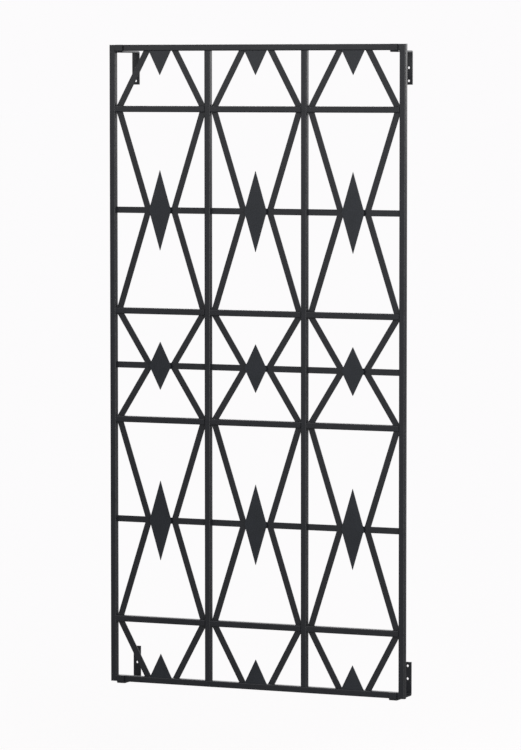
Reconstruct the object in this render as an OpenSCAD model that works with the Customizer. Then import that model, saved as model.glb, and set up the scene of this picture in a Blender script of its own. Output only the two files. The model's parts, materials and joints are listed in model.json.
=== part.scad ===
// Metal garden trellis: a welded panel of square tube, flat bar lattice and diamond plates,
// hung on four strap hook brackets that are screwed to a wall.
// X runs along the panel, +Y points at the wall and +Z is up. The origin is at the middle of
// the footprint, level with the lowest point of the lower brackets.

/* [Panel] */
// Width of the panel over its stiles
panel_w = 1000; // [850:10:1150]
// Height of the panel over its rails
panel_h = 2000; // [1900:10:2200]
// Height of the top and the bottom row, bar centre to bar centre
end_row = 190; // [170:1:220]
// Height of each half of a tall hourglass, bar centre to bar centre
tall_row = 315; // [295:1:330]

/* [Square tube] */
// Outer size of the square tube
tube = 19.5; // [17:0.5:22]
// Wall thickness of the tube
tube_wall = 1.5; // [1:0.1:2.5]
// Outside corner radius of the tube
tube_r = 3; // [2:0.1:3.5]

/* [Lattice] */
// Width of the flat bar
flat_w = 19.5; // [15:0.5:24]
// Thickness of the flat bar
flat_t = 3; // [2:0.5:4]
// Depth of the lattice behind the panel's front
flat_inset = 11.5; // [10:0.5:13]
// Gap between the wide end of a diagonal and the upright beside it
corner_gap = 1; // [0.5:0.5:6]
// Middle of the bay to the narrow end of a diagonal, in the tall rows
tall_foot = 47; // [42:1:60]
// Middle of the bay to the narrow end of a diagonal, in the short rows
short_foot = 46; // [42:1:60]
// Middle of the bay to the narrow end of a diagonal, in the top and bottom rows
end_foot = 49; // [44:1:60]

/* [Diamonds] */
// Width of every diamond and half diamond
diamond_w = 75; // [50:1:78]
// Height of a tall diamond
tall_diamond_h = 250; // [160:2:300]
// Height of a short diamond
short_diamond_h = 150; // [100:2:180]
// Height of a half diamond on a rail
half_diamond_h = 75; // [40:1:100]
// Thickness of the diamond plates
plate_t = 3; // [2:0.5:4]
// Depth of the diamond plates behind the panel's front
plate_inset = 2.5; // [2:0.5:4]
// Diameter of the spacer behind each diamond
spacer_d = 12; // [8:1:16]

/* [Brackets] */
// Width of the bracket strap
strap_w = 24; // [18:1:32]
// Thickness of the bracket strap
strap_t = 5; // [3:0.5:6]
// Inside radius of the strap's bends
bend_r = 2; // [1:0.5:2.5]
// Panel's outer edge to the near edge of the strap
strap_inset = 24; // [23:0.5:60]
// Wall to the back of the panel
standoff = 100; // [60:1:150]
// Play between a hook's lip and the front of the rail
lip_gap = 0.8; // [0.3:0.1:1.5]
// Clearance under the bottom rail, which rests on the lower hooks
seat_gap = 0.3; // [0.2:0.1:0.5]
// Play under the top rail, which the upper hooks only steady
top_play = 0.3; // [0.2:0.1:3]
// Height of the wall flange, with the arm's thickness
flange_l = 104.5; // [85:0.5:140]
// Diameter of the screw holes
hole_d = 8; // [4:0.5:10]
// Distance between the two screw holes
hole_pitch = 40; // [20:1:60]
// Free end of the flange to the middle of the outer hole
hole_end = 12; // [8:0.5:20]

/* [Hidden] */
$fn = 64;
SIDES = ["left", "right"];
BAYS = ["left", "middle", "right"];
WAISTS = ["upper", "middle", "lower"];
BANDS = ["top", "upper", "middle", "lower", "bottom"];
ENDS = ["top", "bottom"];

// Dark grey powder coat on every piece
coat = "#343538";

// Heights and depths that the pieces share
panel_bottom = strap_t + seat_gap;
panel_top = panel_bottom + panel_h;
depth = strap_t + lip_gap + tube + standoff;
wall_y = depth / 2;
front_y = wall_y - standoff - tube;
flat_y = front_y + flat_inset;
plate_y = front_y + plate_inset;

// Bays between the uprights
bay_pitch = (panel_w - tube) / 3;
bay_clear = bay_pitch - tube;
function bay_x(bay) = (bay - 1) * bay_pitch;

// Height of the middle of each bar, from the top rail down to the bottom rail
short_row = (panel_h - tube - 2 * end_row - 4 * tall_row) / 2;
ROWS = [end_row, tall_row, tall_row, short_row, short_row, tall_row, tall_row, end_row];
function drop(bar) = bar == 0 ? 0 : ROWS[bar - 1] + drop(bar - 1);
function bar_z(bar) = panel_top - tube / 2 - drop(bar);

// Cross tubes are the odd bars, waist bars the even bars between the rails
function cross_z(row) = bar_z(2 * row - 1);
function waist_z(waist) = bar_z(2 * waist);

// Upper and lower half height of a bar: a rail or cross tube is a tube, a waist bar is flat bar
function half_bar(bar) = bar % 2 == 0 && bar > 0 && bar < 8 ? flat_w / 2 : tube / 2;
function foot(row) = row == 1 || row == 8 ? end_foot : row == 4 || row == 5 ? short_foot : tall_foot;

// Square with round corners, centred on the origin
module rounded_square(size, r) {
    square([size, size - 2 * r], center = true);
    square([size - 2 * r, size], center = true);
    for (x = [-1, 1], y = [-1, 1])
        translate([x, y] * (size / 2 - r)) circle(r = r);
}

// Length of hollow square tube, centred on the origin and running along Z
module square_tube(length) {
    bore_r = max(tube_r - tube_wall, 0.4);
    translate([0, 0, -length / 2])
        linear_extrude(length)
            difference() {
                rounded_square(tube, tube_r);
                rounded_square(tube - 2 * tube_wall, bore_r);
            }
}

// Cuts both ends of an upright length of tube at 45 degrees, keeping its +X side long
module mitred_tube(length) {
    far = 2 * tube;
    difference() {
        square_tube(length);
        for (end = [-1, 1])
            translate([-tube / 2, 0, end * (length / 2 - tube)])
                rotate([0, end * -45, 0])
                    translate([-far, -tube, end > 0 ? 0 : -far])
                        cube([2 * far, 2 * tube, far]);
    }
}

// Moves what lies on the origin into the plane of the tubes, at a place along X and Z
module in_frame(x, z) {
    translate([x, front_y + tube / 2, z]) children();
}

module stile(side) {
    x = (panel_w - tube) / 2;
    z = panel_bottom + panel_h / 2;
    color(coat)
        in_frame(side * x, z)
            rotate([0, 0, side > 0 ? 0 : 180]) mitred_tube(panel_h);
}

module inner_upright(side) {
    color(coat)
        in_frame(side * bay_pitch / 2, panel_bottom + panel_h / 2)
            square_tube(panel_h - 2 * tube);
}

module rail(end) {
    color(coat)
        in_frame(0, end > 0 ? bar_z(0) : bar_z(8))
            rotate([0, end * -90, 0]) mitred_tube(panel_w);
}

module cross_tube(row, bay) {
    color(coat)
        in_frame(bay_x(bay), cross_z(row))
            rotate([0, 90, 0]) square_tube(bay_clear);
}

// One length of flat bar in each bay, on edge between the uprights
module waist_bars(waist) {
    color(coat)
        for (bay = [0:2])
            translate([bay_x(bay) - bay_clear / 2, flat_y, waist_z(waist) - flat_w / 2])
                cube([bay_clear, flat_t, flat_w]);
}

// One slanting flat bar between two bars, from its foot near the middle of the bay to the corner
module diagonal(side, foot_x, foot_z, corner_z) {
    rise = abs(corner_z - foot_z);
    room = bay_clear / 2 - corner_gap - foot_x;
    // Width along X of a bar whose outer edge ends at the corner gap
    cut = flat_w * (rise * sqrt(4 * (rise ^ 2 + room ^ 2) - flat_w ^ 2) - flat_w * room)
        / (2 * rise ^ 2 - flat_w ^ 2 / 2);
    corner_x = foot_x + room - cut / 2;
    translate([0, flat_y + flat_t, 0])
        rotate([90, 0, 0])
            linear_extrude(flat_t)
                polygon([
                    [side * (foot_x - cut / 2), foot_z],
                    [side * (foot_x + cut / 2), foot_z],
                    [side * (corner_x + cut / 2), corner_z],
                    [side * (corner_x - cut / 2), corner_z]
                ]);
}

// The two diagonals of one row in one bay, with their feet on the waist bar or the rail
module row_diagonals(row, bay) {
    foot_bar = 2 * floor(row / 2);
    corner_bar = 2 * ceil(row / 2) - 1;
    toward_corner = sign(foot_bar - corner_bar);
    foot_z = bar_z(foot_bar) + toward_corner * half_bar(foot_bar);
    corner_z = bar_z(corner_bar) - toward_corner * half_bar(corner_bar);
    for (side = [-1, 1])
        translate([bay_x(bay), 0, 0]) diagonal(side, foot(row), foot_z, corner_z);
}

// The diagonals of the top or bottom row, or of an hourglass, in one bay
module band_diagonals(band, bay) {
    rows = band == 0 ? [1] : band == 4 ? [8] : [2 * band, 2 * band + 1];
    color(coat) for (row = rows) row_diagonals(row, bay);
}

// Plate in the plane of the diamonds with the given outline in X and Z
module plate(outline) {
    translate([0, plate_y + plate_t, 0])
        rotate([90, 0, 0]) linear_extrude(plate_t) polygon(outline);
}

module diamond(waist, bay) {
    h = waist == 2 ? short_diamond_h : tall_diamond_h;
    color(coat)
        translate([bay_x(bay), 0, waist_z(waist)])
            plate([[-diamond_w / 2, 0], [0, -h / 2], [diamond_w / 2, 0], [0, h / 2]]);
}

// Half diamond that hangs from the top rail or stands on the bottom rail
module half_diamond(end, bay) {
    z = end > 0 ? bar_z(0) - tube / 2 : bar_z(8) + tube / 2;
    color(coat)
        translate([bay_x(bay), 0, z])
            plate([[-diamond_w / 2, 0], [0, -end * half_diamond_h], [diamond_w / 2, 0]]);
}

// Round spacers that carry the diamonds on the waist bars
module diamond_spacers() {
    plate_back = plate_y + plate_t;
    color(coat)
        for (waist = [1:3], bay = [0:2])
            translate([bay_x(bay), plate_back, waist_z(waist)])
                rotate([-90, 0, 0]) cylinder(h = flat_y - plate_back, d = spacer_d);
}

// Quarter of a bend in the strap, around the origin, in the quarter towards +X and +Y
module bend() {
    intersection() {
        difference() {
            circle(r = bend_r + strap_t);
            circle(r = bend_r);
        }
        square(bend_r + strap_t);
    }
}

// Side view of a bracket, Y along the first axis and Z along the second
module strap_outline(arm_z, lip_top, flange_end) {
    up = flange_end > arm_z ? 1 : -1;
    lip_y = -wall_y;
    arm_top = arm_z + strap_t;
    outer_r = bend_r + strap_t;
    flange_face = up > 0 ? arm_top : arm_z;
    // Lip and its bend
    lip_start = arm_top + bend_r;
    translate([lip_y, lip_start]) square([strap_t, lip_top - lip_start]);
    translate([lip_y + outer_r, lip_start]) rotate(180) bend();
    // Arm
    translate([lip_y + outer_r, arm_z]) square([depth - 2 * outer_r, strap_t]);
    // Wall flange and its bend
    flange_start = flange_face + up * bend_r;
    translate([wall_y - outer_r, flange_start]) rotate(up > 0 ? -90 : 0) bend();
    translate([wall_y - strap_t, min(flange_start, flange_end)])
        square([strap_t, abs(flange_end - flange_start)]);
}

module bracket(level, side) {
    lower = level == "lower";
    arm_z = lower ? 0 : panel_top - tube - top_play - strap_t;
    lip_top = lower ? panel_bottom + tube : panel_top;
    flange_end = lower ? flange_l : arm_z + strap_t - flange_l;
    up = lower ? 1 : -1;
    strap_x = panel_w / 2 - strap_inset - strap_w / 2;
    color(coat)
        difference() {
            translate([side * strap_x - strap_w / 2, 0, 0])
                rotate([90, 0, 90])
                    linear_extrude(strap_w) strap_outline(arm_z, lip_top, flange_end);
            for (i = [0, 1])
                translate([side * strap_x, wall_y + 1, flange_end - up * (hole_end + i * hole_pitch)])
                    rotate([90, 0, 0]) cylinder(h = strap_t + 2, d = hole_d);
        }
}

for (i = [0, 1])
    stile(2 * i - 1);
for (i = [0, 1])
    inner_upright(2 * i - 1);
for (i = [0, 1])
    rail(1 - 2 * i);
for (row = [1:4], bay = [0:2])
    cross_tube(row, bay);
for (waist = [1:3])
    waist_bars(waist);
for (band = [0:4], bay = [0:2])
    band_diagonals(band, bay);
for (waist = [1:3], bay = [0:2])
    diamond(waist, bay);
for (i = [0, 1], bay = [0:2])
    half_diamond(1 - 2 * i, bay);
diamond_spacers();
for (level = ["upper", "lower"], i = [0, 1])
    bracket(level, 2 * i - 1);
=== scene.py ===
"""Metal garden trellis: a welded panel of tube, flat bar and diamond plates on four hook brackets."""

import json
import math

import bpy
from mathutils import Matrix, Vector

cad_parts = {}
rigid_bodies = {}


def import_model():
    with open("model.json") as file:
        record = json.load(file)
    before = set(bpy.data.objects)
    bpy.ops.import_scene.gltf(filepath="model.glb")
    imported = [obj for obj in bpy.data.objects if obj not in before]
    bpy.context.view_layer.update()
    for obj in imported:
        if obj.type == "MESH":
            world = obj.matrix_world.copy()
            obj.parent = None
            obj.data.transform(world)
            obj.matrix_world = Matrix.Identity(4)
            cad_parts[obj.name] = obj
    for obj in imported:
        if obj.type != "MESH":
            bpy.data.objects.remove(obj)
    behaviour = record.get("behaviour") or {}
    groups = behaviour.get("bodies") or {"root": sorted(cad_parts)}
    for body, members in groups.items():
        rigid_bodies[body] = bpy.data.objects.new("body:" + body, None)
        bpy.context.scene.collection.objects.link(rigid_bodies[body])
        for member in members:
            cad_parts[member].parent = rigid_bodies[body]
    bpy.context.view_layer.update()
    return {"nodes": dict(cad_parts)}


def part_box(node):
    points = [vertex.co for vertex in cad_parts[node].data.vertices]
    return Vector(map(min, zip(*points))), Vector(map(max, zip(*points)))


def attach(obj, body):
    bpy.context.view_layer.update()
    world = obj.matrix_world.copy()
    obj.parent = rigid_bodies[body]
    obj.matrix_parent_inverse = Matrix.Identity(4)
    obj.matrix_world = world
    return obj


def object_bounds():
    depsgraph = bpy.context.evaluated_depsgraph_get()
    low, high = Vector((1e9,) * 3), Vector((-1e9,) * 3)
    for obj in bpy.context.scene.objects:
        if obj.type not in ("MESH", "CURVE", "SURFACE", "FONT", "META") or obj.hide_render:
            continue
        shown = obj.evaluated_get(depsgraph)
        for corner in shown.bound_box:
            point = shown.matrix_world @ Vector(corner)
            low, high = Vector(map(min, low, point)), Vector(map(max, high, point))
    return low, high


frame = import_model()

# The photograph's long side in pixels, and the sensor width that belongs to it
PHOTO_LONG_SIDE = 750
SENSOR_MM = 36.0

# The camera that the panel's corners and bars were fitted to, with its angles in degrees
FOCAL_PX = 4322.5
CAMERA_PLACE = (5.5165, -12.1896, 1.9069)
CAMERA_YAW = 24.378
CAMERA_DOWN = 3.953
CAMERA_ROLL = -0.018
CAMERA_REACH = 500.0

# Weld beads on the back: their width and ripples, and how near the points at their ends are joined
BEAD_WIDTH = 0.0042
BEAD_SIDES = 8
RIPPLE_PITCH = 0.0022
RINGS_PER_RIPPLE = 2
RIPPLE_SHARE = 0.16
JOIN_DISTANCE = 1e-6
# The share of half its width by which a bead stands proud, on a flush seam and in a corner
FLUSH_SHARE = 0.4
FILLET_SHARE = 0.9
# Corners that the beads stay clear of, and the stitches that hold the half diamonds
SEAM_INSET = 0.003
MITRE_INSET = 0.002
BAR_SEAM_INSET = 0.0015
STITCH_START = 0.010
STITCH_LENGTH = 0.018
# Decimals to which the corners of a mesh are read, in metres
PLACE_DECIMALS = 5

# How strongly the satin coat mirrors
COAT_IOR = 1.38
# The coat on each kind of piece: its darkest and lightest shade, its gloss, and how fine its mottling is
COATS = {
    "tube_coat": ((0.0113, 0.0122, 0.0152), (0.0147, 0.0157, 0.0195), (0.27, 0.33), 38.0),
    "flat_bar_coat": ((0.0123, 0.0133, 0.0162), (0.0161, 0.0172, 0.0207), (0.27, 0.34), 52.0),
    # Painted sheen: the diamond plates' shades are lighter and bluer than the tubes', standing in for blue
    # light that their flat faces reflect
    "diamond_plate_coat_and_sheen": ((0.0134, 0.0158, 0.0198), (0.0172, 0.0196, 0.0252), (0.26, 0.33), 30.0),
    "bracket_coat": ((0.0108, 0.0117, 0.0146), (0.0146, 0.0157, 0.0194), (0.28, 0.35), 64.0),
    "weld_coat": ((0.0102, 0.0111, 0.0138), (0.0140, 0.0151, 0.0187), (0.31, 0.39), 150.0),
}
# Detail and roughness of the noise behind the mottling, and the band that each noise mostly fills
MOTTLE_NOISE = (4.0, 0.6)
NOISE_LOW = 0.3
NOISE_HIGH = 0.7
# Slow drifts of shade along a piece, where the powder lies thicker or thinner
DRIFT_SCALE = 3.5
DRIFT_NOISE = (2.0, 0.5)
DRIFT_DARK = 0.94
# Gloss changes left by handling, and the fine peel of the baked powder
HANDLING_SCALE = 9.0
HANDLING_NOISE = (5.0, 0.55)
PEEL_SCALE = 520.0
PEEL_NOISE = (2.0, 0.5)
PEEL_STRENGTH = 0.20
PEEL_DEPTH = 0.00012

# The photograph's background, and the light that the surroundings give
BACKGROUND = (0.9734, 0.9647, 0.9734, 1.0)
SURROUNDINGS = (0.90, 0.93, 1.0, 1.0)
SURROUNDINGS_LEVEL = 0.3

# The panel hangs on a wall, so the floor lies well below it
FLOOR_Z = -0.45
FLOOR_SIZE = 400.0
FLOOR_COLOUR = (0.61, 0.59, 0.55, 1.0)
FLOOR_ROUGHNESS = 0.9
# What the floor adds to its own lit colour, as the camera sees it and as a reflection shows it
FLOOR_GLOW_SEEN = 0.8303
FLOOR_GLOW_REFLECTED = 0.05
# How much less it adds under the lamps, and the distance from the panel at which half of that is left
LAMPLIT_DIP = 0.0705
LAMPLIT_REACH = 3.0

# Square soft lamps: name, place, what each is aimed at, the width of its face, and its watts
FRONT_LAMPS = [
    ("right_lamp", (3.0, -3.5, 2.4), (0.0, 0.0, 1.2), 3.0, 51.8),
    ("right_low_lamp", (2.6, -3.9, 1.2), (0.0, 0.0, 1.0), 3.0, 93.5),
    ("left_lamp", (-2.3, -5.0, 2.8), (0.0, 0.0, 1.5), 2.0, 18.3),
    ("left_low_lamp", (-1.2, -5.0, 0.8), (0.0, 0.0, 1.0), 2.0, 5.9),
]
BACK_LAMPS = [
    ("rim_lamp", (2.2, 4.6, 2.1), (0.0, 0.0, 1.7), 0.8, 7.0),
    ("low_rim_lamp", (2.1, 4.6, 0.05), (0.0, 0.0, 0.6), 0.6, 0.9),
    ("back_lamp", (-3.0, 5.0, 4.5), (0.0, 0.0, 1.2), 3.0, 120.0),
]


def add(tree, kind, **settings):
    """A new node, with its settings and the values of its named inputs."""
    node = tree.nodes.new(kind)
    for name, value in settings.items():
        if hasattr(node, name):
            setattr(node, name, value)
        else:
            node.inputs[name.replace("_", " ")].default_value = value
    return node


def reckon(tree, operation, *values):
    """The result of a new Math node, whose values are numbers or the outputs of other nodes."""
    node = add(tree, "ShaderNodeMath", operation=operation)
    for socket, value in zip(node.inputs, values):
        if isinstance(value, (int, float)):
            socket.default_value = value
        else:
            tree.links.new(value, socket)
    return node.outputs[0]


def new_material(name):
    """A new material, with its node tree and its Principled shader."""
    material = bpy.data.materials.new(name)
    material.use_nodes = True
    tree = material.node_tree
    return material, tree, tree.nodes["Principled BSDF"]


def powder_coat(name):
    """Satin powder coat on steel: faint mottling, slow changes of shade and gloss, and a fine orange peel."""
    dark, light, gloss_range, grain = COATS[name]
    material, tree, shader = new_material(name)
    link = tree.links.new
    place = add(tree, "ShaderNodeTexCoord")

    def noise(scale, detail, roughness):
        node = add(tree, "ShaderNodeTexNoise", Scale=scale, Detail=detail, Roughness=roughness)
        link(place.outputs["Object"], node.inputs["Vector"])
        return node.outputs["Fac"]

    def spread(value, low, high):
        node = add(tree, "ShaderNodeMapRange", To_Min=low, To_Max=high)
        node.inputs["From Min"].default_value = NOISE_LOW
        node.inputs["From Max"].default_value = NOISE_HIGH
        link(value, node.inputs["Value"])
        return node.outputs["Result"]

    colour = add(tree, "ShaderNodeValToRGB")
    for stop, position, shade in zip(colour.color_ramp.elements, (NOISE_LOW, NOISE_HIGH), (dark, light)):
        stop.position = position
        stop.color = (*shade, 1.0)
    link(noise(grain, *MOTTLE_NOISE), colour.inputs["Fac"])
    drift = add(tree, "ShaderNodeVectorMath", operation="SCALE")
    link(colour.outputs["Color"], drift.inputs[0])
    link(spread(noise(DRIFT_SCALE, *DRIFT_NOISE), DRIFT_DARK, 2.0 - DRIFT_DARK), drift.inputs["Scale"])
    link(drift.outputs["Vector"], shader.inputs["Base Color"])

    link(spread(noise(HANDLING_SCALE, *HANDLING_NOISE), *gloss_range), shader.inputs["Roughness"])

    bump = add(tree, "ShaderNodeBump", Strength=PEEL_STRENGTH, Distance=PEEL_DEPTH)
    link(noise(PEEL_SCALE, *PEEL_NOISE), bump.inputs["Height"])
    link(bump.outputs["Normal"], shader.inputs["Normal"])
    shader.inputs["IOR"].default_value = COAT_IOR
    return material


def coat_for(name):
    """Which coat a node has, by what it is made of."""
    if name.endswith("_bracket"):
        return "bracket_coat"
    if name.endswith("_waist_bars") or "_diagonals_" in name:
        return "flat_bar_coat"
    if "diamond" in name:
        return "diamond_plate_coat_and_sheen"
    return "tube_coat"


def coat_the_nodes(coats):
    """All pieces are one dark grey, which lies a little differently on tube, flat bar and strap; on the
    plates it is painted lighter and bluer, a painted sheen of reflected blue light.
    """
    for name, piece in frame["nodes"].items():
        piece.data.materials.clear()
        piece.data.materials.append(coats[coat_for(name)])


def corner_places(node):
    """The corners of a node's flat pieces: for each height, the places along X from left to right."""
    places = {}
    for vertex in frame["nodes"][node].data.vertices:
        height, along = (round(value, PLACE_DECIMALS) for value in (vertex.co.z, vertex.co.x))
        places.setdefault(height, set()).add(along)
    return {z: sorted(xs) for z, xs in places.items()}


def tube_seams():
    """Seams across the flat backs of the tubes, each from one (x, z) to another."""
    seams = []
    for name in frame["nodes"]:
        low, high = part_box(name)
        if name.startswith("cross_tube"):
            for x in (low.x, high.x):
                seams.append(((x, low.z + SEAM_INSET), (x, high.z - SEAM_INSET)))
        elif name.endswith("inner_upright"):
            for z in (low.z, high.z):
                seams.append(((low.x + SEAM_INSET, z), (high.x - SEAM_INSET, z)))
    low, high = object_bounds()
    rail_low, rail_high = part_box("bottom_rail")[0].z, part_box("top_rail")[1].z
    tube = high.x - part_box("right_stile")[0].x
    mitre = (MITRE_INSET, tube - SEAM_INSET)
    for side in (-1, 1):
        for z, inward in ((rail_low, 1), (rail_high, -1)):
            near, far = ((side * (high.x - inset), z + inward * inset) for inset in mitre)
            seams.append((near, far))
    return seams


def bar_seams():
    """Seams on the backs of the flat bars: butt seams on other bars, and corner seams on tubes."""
    butt, corner = [], []
    waist_edges = set()
    for name in frame["nodes"]:
        if name.endswith("waist_bars"):
            places = corner_places(name)
            low, high = sorted(places)
            waist_edges.update((low, high))
            for x in places[low]:
                corner.append(((x, low + BAR_SEAM_INSET), (x, high - BAR_SEAM_INSET)))
    for name in frame["nodes"]:
        if "_diagonals_" in name:
            for z, xs in corner_places(name).items():
                seams = butt if z in waist_edges else corner
                for left, right in zip(xs[::2], xs[1::2]):
                    seams.append(((left + BAR_SEAM_INSET, z), (right - BAR_SEAM_INSET, z)))
    return butt, corner


def plate_seams():
    """Two short stitches along the edge by which each half diamond hangs on its rail."""
    seams = []
    for name in frame["nodes"]:
        if "half_diamond" in name:
            z, xs = max(corner_places(name).items(), key=lambda item: len(item[1]))
            for x, inward in ((xs[0], 1), (xs[-1], -1)):
                start = x + inward * STITCH_START
                seams.append(((start, z), (start + inward * STITCH_LENGTH, z)))
    return seams


def bead_radius(tree, given):
    """The radius along a bead, which swells at every ripple and closes to a round end."""

    def number(operation, *values):
        return reckon(tree, operation, *values)

    along = add(tree, "GeometryNodeSplineParameter").outputs["Length"]
    whole = add(tree, "GeometryNodeSplineLength").outputs["Length"]
    radius = number("MULTIPLY", given.outputs["Width"], 0.5)
    phase = number("MULTIPLY", number("DIVIDE", along, given.outputs["Ripple pitch"]), math.pi)
    wave = number("ABSOLUTE", number("SINE", phase))
    ripple = number("MULTIPLY_ADD", wave, RIPPLE_SHARE, 1.0 - RIPPLE_SHARE)
    to_end = number("MINIMUM", along, number("SUBTRACT", whole, along))
    nearness = number("MINIMUM", number("DIVIDE", to_end, radius), 1.0)
    roundness = number("SQRT", number("MULTIPLY", nearness, number("SUBTRACT", 2.0, nearness)))
    return number("MULTIPLY", radius, number("MULTIPLY", ripple, roundness))


def bead_tree():
    """Geometry Nodes tree that lays a rippled, round-ended weld bead along every edge of a mesh."""
    tree = bpy.data.node_groups.new("weld_beads", "GeometryNodeTree")
    face = tree.interface.new_socket
    face("Geometry", in_out="INPUT", socket_type="NodeSocketGeometry")
    sizes = {"Width": BEAD_WIDTH, "Height share": FLUSH_SHARE, "Ripple pitch": RIPPLE_PITCH, "Depth": 0.0}
    for name, value in sizes.items():
        face(name, in_out="INPUT", socket_type="NodeSocketFloat").default_value = value
    face("Coat", in_out="INPUT", socket_type="NodeSocketMaterial")
    face("Geometry", in_out="OUTPUT", socket_type="NodeSocketGeometry")
    link = tree.links.new
    given = add(tree, "NodeGroupInput")
    result = add(tree, "NodeGroupOutput")

    seam = add(tree, "GeometryNodeMeshToCurve")
    link(given.outputs["Geometry"], seam.inputs["Mesh"])
    points = add(tree, "GeometryNodeResampleCurve", mode="LENGTH")
    link(seam.outputs["Curve"], points.inputs["Curve"])
    spacing = reckon(tree, "DIVIDE", given.outputs["Ripple pitch"], RINGS_PER_RIPPLE)
    link(spacing, points.inputs["Length"])

    ring = add(tree, "GeometryNodeCurvePrimitiveCircle", Resolution=BEAD_SIDES, Radius=1.0)
    bead = add(tree, "GeometryNodeCurveToMesh")
    link(points.outputs["Curve"], bead.inputs["Curve"])
    link(ring.outputs["Curve"], bead.inputs["Profile Curve"])
    link(bead_radius(tree, given), bead.inputs["Scale"])
    closed = add(tree, "GeometryNodeMergeByDistance", Distance=JOIN_DISTANCE)
    link(bead.outputs["Mesh"], closed.inputs["Geometry"])

    flatten = add(tree, "ShaderNodeCombineXYZ", X=1.0, Z=1.0)
    link(given.outputs["Height share"], flatten.inputs["Y"])
    move = add(tree, "ShaderNodeCombineXYZ")
    link(given.outputs["Depth"], move.inputs["Y"])
    place = add(tree, "GeometryNodeTransform")
    link(closed.outputs["Geometry"], place.inputs["Geometry"])
    link(flatten.outputs[0], place.inputs["Scale"])
    link(move.outputs[0], place.inputs["Translation"])
    whole_mesh = add(tree, "GeometryNodeRealizeInstances")
    link(place.outputs["Geometry"], whole_mesh.inputs["Geometry"])
    coated = add(tree, "GeometryNodeSetMaterial")
    link(whole_mesh.outputs["Geometry"], coated.inputs["Geometry"])
    link(given.outputs["Coat"], coated.inputs["Material"])
    link(coated.outputs["Geometry"], result.inputs["Geometry"])
    return tree


def lay_beads(name, seams, depth, height_share, tree, coat):
    """The weld beads at one depth, as one piece that rides on the panel."""
    lines = bpy.data.meshes.new(name)
    ends = [(x, 0.0, z) for seam in seams for x, z in seam]
    lines.from_pydata(ends, [(2 * i, 2 * i + 1) for i in range(len(seams))], [])
    piece = bpy.data.objects.new(name, lines)
    bpy.context.scene.collection.objects.link(piece)
    laid = piece.modifiers.new("beads", "NODES")
    laid.node_group = tree
    sizes = {"Depth": depth, "Height share": height_share, "Coat": coat}
    for item in tree.interface.items_tree:
        if item.in_out == "INPUT" and item.name in sizes:
            laid[item.identifier] = sizes[item.name]
    shown = piece.evaluated_get(bpy.context.evaluated_depsgraph_get())
    beads = bpy.data.meshes.new_from_object(shown)
    piece.modifiers.remove(laid)
    piece.data = beads
    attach(piece, "panel")


def weld_the_back(coat):
    """Weld beads where tubes, flat bars and half diamonds meet, all on the back of the panel."""
    tree = bead_tree()
    butt, corner = bar_seams()
    tube_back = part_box("right_stile")[1].y
    bar_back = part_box("upper_waist_bars")[1].y
    plate_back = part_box("top_half_diamond_left")[1].y
    lay_beads("tube_welds", tube_seams(), tube_back, FLUSH_SHARE, tree, coat)
    lay_beads("bar_butt_welds", butt, bar_back, FLUSH_SHARE, tree, coat)
    lay_beads("bar_corner_welds", corner, bar_back, FILLET_SHARE, tree, coat)
    lay_beads("half_diamond_welds", plate_seams(), plate_back, FILLET_SHARE, tree, coat)


def make_world():
    """The camera and reflections see the pale backdrop, and dimmer surroundings light the trellis."""
    world = bpy.data.worlds.new("studio")
    bpy.context.scene.world = world
    world.use_nodes = True
    tree = world.node_tree
    tree.nodes.clear()
    link = tree.links.new
    backdrop = add(tree, "ShaderNodeBackground", Color=BACKGROUND, Strength=1.0)
    air = add(tree, "ShaderNodeBackground", Color=SURROUNDINGS, Strength=SURROUNDINGS_LEVEL)
    ray = add(tree, "ShaderNodeLightPath").outputs
    direct = reckon(tree, "MAXIMUM", ray["Is Camera Ray"], ray["Is Glossy Ray"])
    mix = add(tree, "ShaderNodeMixShader")
    link(reckon(tree, "MAXIMUM", direct, ray["Is Transmission Ray"]), mix.inputs[0])
    link(air.outputs[0], mix.inputs[1])
    link(backdrop.outputs[0], mix.inputs[2])
    out = add(tree, "ShaderNodeOutputWorld")
    link(mix.outputs[0], out.inputs["Surface"])


def floor_glow(tree):
    """How brightly the floor glows: evened out for the camera under the lamps, and faintly in reflections."""
    place = add(tree, "ShaderNodeTexCoord")
    distance = add(tree, "ShaderNodeVectorMath", operation="LENGTH")
    tree.links.new(place.outputs["Object"], distance.inputs[0])
    share = reckon(tree, "DIVIDE", distance.outputs["Value"], LAMPLIT_REACH)
    dip = reckon(tree, "DIVIDE", LAMPLIT_DIP, reckon(tree, "MULTIPLY_ADD", share, share, 1.0))
    even = reckon(tree, "SUBTRACT", FLOOR_GLOW_SEEN, dip)
    ray = add(tree, "ShaderNodeLightPath").outputs
    seen = reckon(tree, "MULTIPLY", ray["Is Camera Ray"], even)
    reflected = reckon(tree, "MAXIMUM", ray["Is Glossy Ray"], ray["Is Transmission Ray"])
    return reckon(tree, "MULTIPLY_ADD", reflected, FLOOR_GLOW_REFLECTED, seen)


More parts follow.
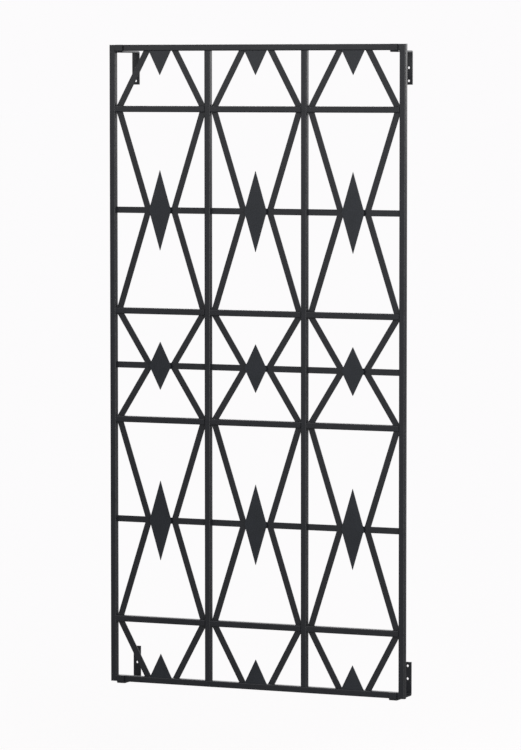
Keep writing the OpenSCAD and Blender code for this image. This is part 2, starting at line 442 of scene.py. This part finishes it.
def make_floor():
    """A plain pale floor that runs out to the horizon and fades into the backdrop."""
    mesh = bpy.data.meshes.new("floor")
    half = FLOOR_SIZE / 2
    corners = [(x * half, y * half, FLOOR_Z) for x, y in ((-1, -1), (1, -1), (1, 1), (-1, 1))]
    mesh.from_pydata(corners, [], [(0, 1, 2, 3)])
    floor = bpy.data.objects.new("floor", mesh)
    bpy.context.scene.collection.objects.link(floor)
    material, tree, shader = new_material("pale_floor")
    shader.inputs["Base Color"].default_value = FLOOR_COLOUR
    shader.inputs["Roughness"].default_value = FLOOR_ROUGHNESS
    shader.inputs["Specular IOR Level"].default_value = 0.0
    glow = add(tree, "ShaderNodeEmission", Color=BACKGROUND)
    tree.links.new(floor_glow(tree), glow.inputs["Strength"])
    both = add(tree, "ShaderNodeAddShader")
    tree.links.new(shader.outputs[0], both.inputs[0])
    tree.links.new(glow.outputs[0], both.inputs[1])
    tree.links.new(both.outputs[0], tree.nodes["Material Output"].inputs["Surface"])
    mesh.materials.append(material)


def softbox(name, place, aim, size, watts):
    """A square soft lamp at a place, turned to what it is aimed at."""
    lamp = bpy.data.lights.new(name, "AREA")
    lamp.size = size
    lamp.energy = watts
    holder = bpy.data.objects.new(name, lamp)
    holder.location = place
    holder.rotation_mode = "QUATERNION"
    holder.rotation_quaternion = (Vector(aim) - Vector(place)).to_track_quat("-Z", "Y")
    holder.visible_camera = False
    bpy.context.scene.collection.objects.link(holder)
    return holder


def make_lamps():
    """The lamps in front light everything, and those behind light only the trellis."""
    for lamp in FRONT_LAMPS:
        softbox(*lamp)
    trellis = bpy.data.collections.new("trellis")
    for piece in bpy.context.scene.objects:
        if piece.type == "MESH" and piece.name != "floor":
            trellis.objects.link(piece)
    for lamp in BACK_LAMPS:
        softbox(*lamp).light_linking.receiver_collection = trellis


def make_camera():
    """The camera at the photograph's viewing angle."""
    lens = bpy.data.cameras.new("camera")
    lens.sensor_width = SENSOR_MM
    lens.lens = FOCAL_PX * SENSOR_MM / PHOTO_LONG_SIDE
    lens.clip_end = CAMERA_REACH
    camera = bpy.data.objects.new("camera", lens)
    turn = Matrix.Rotation(math.radians(CAMERA_YAW), 4, "Z")
    tilt = Matrix.Rotation(math.radians(90.0 - CAMERA_DOWN), 4, "X")
    roll = Matrix.Rotation(math.radians(CAMERA_ROLL), 4, "Z")
    camera.matrix_world = Matrix.Translation(CAMERA_PLACE) @ turn @ tilt @ roll
    bpy.context.scene.collection.objects.link(camera)
    bpy.context.scene.camera = camera


coats = {name: powder_coat(name) for name in COATS}
coat_the_nodes(coats)
weld_the_back(coats["weld_coat"])
make_world()
make_floor()
make_lamps()
make_camera()
bpy.context.scene.view_settings.view_transform = "Standard"

bpy.context.view_layer.update()
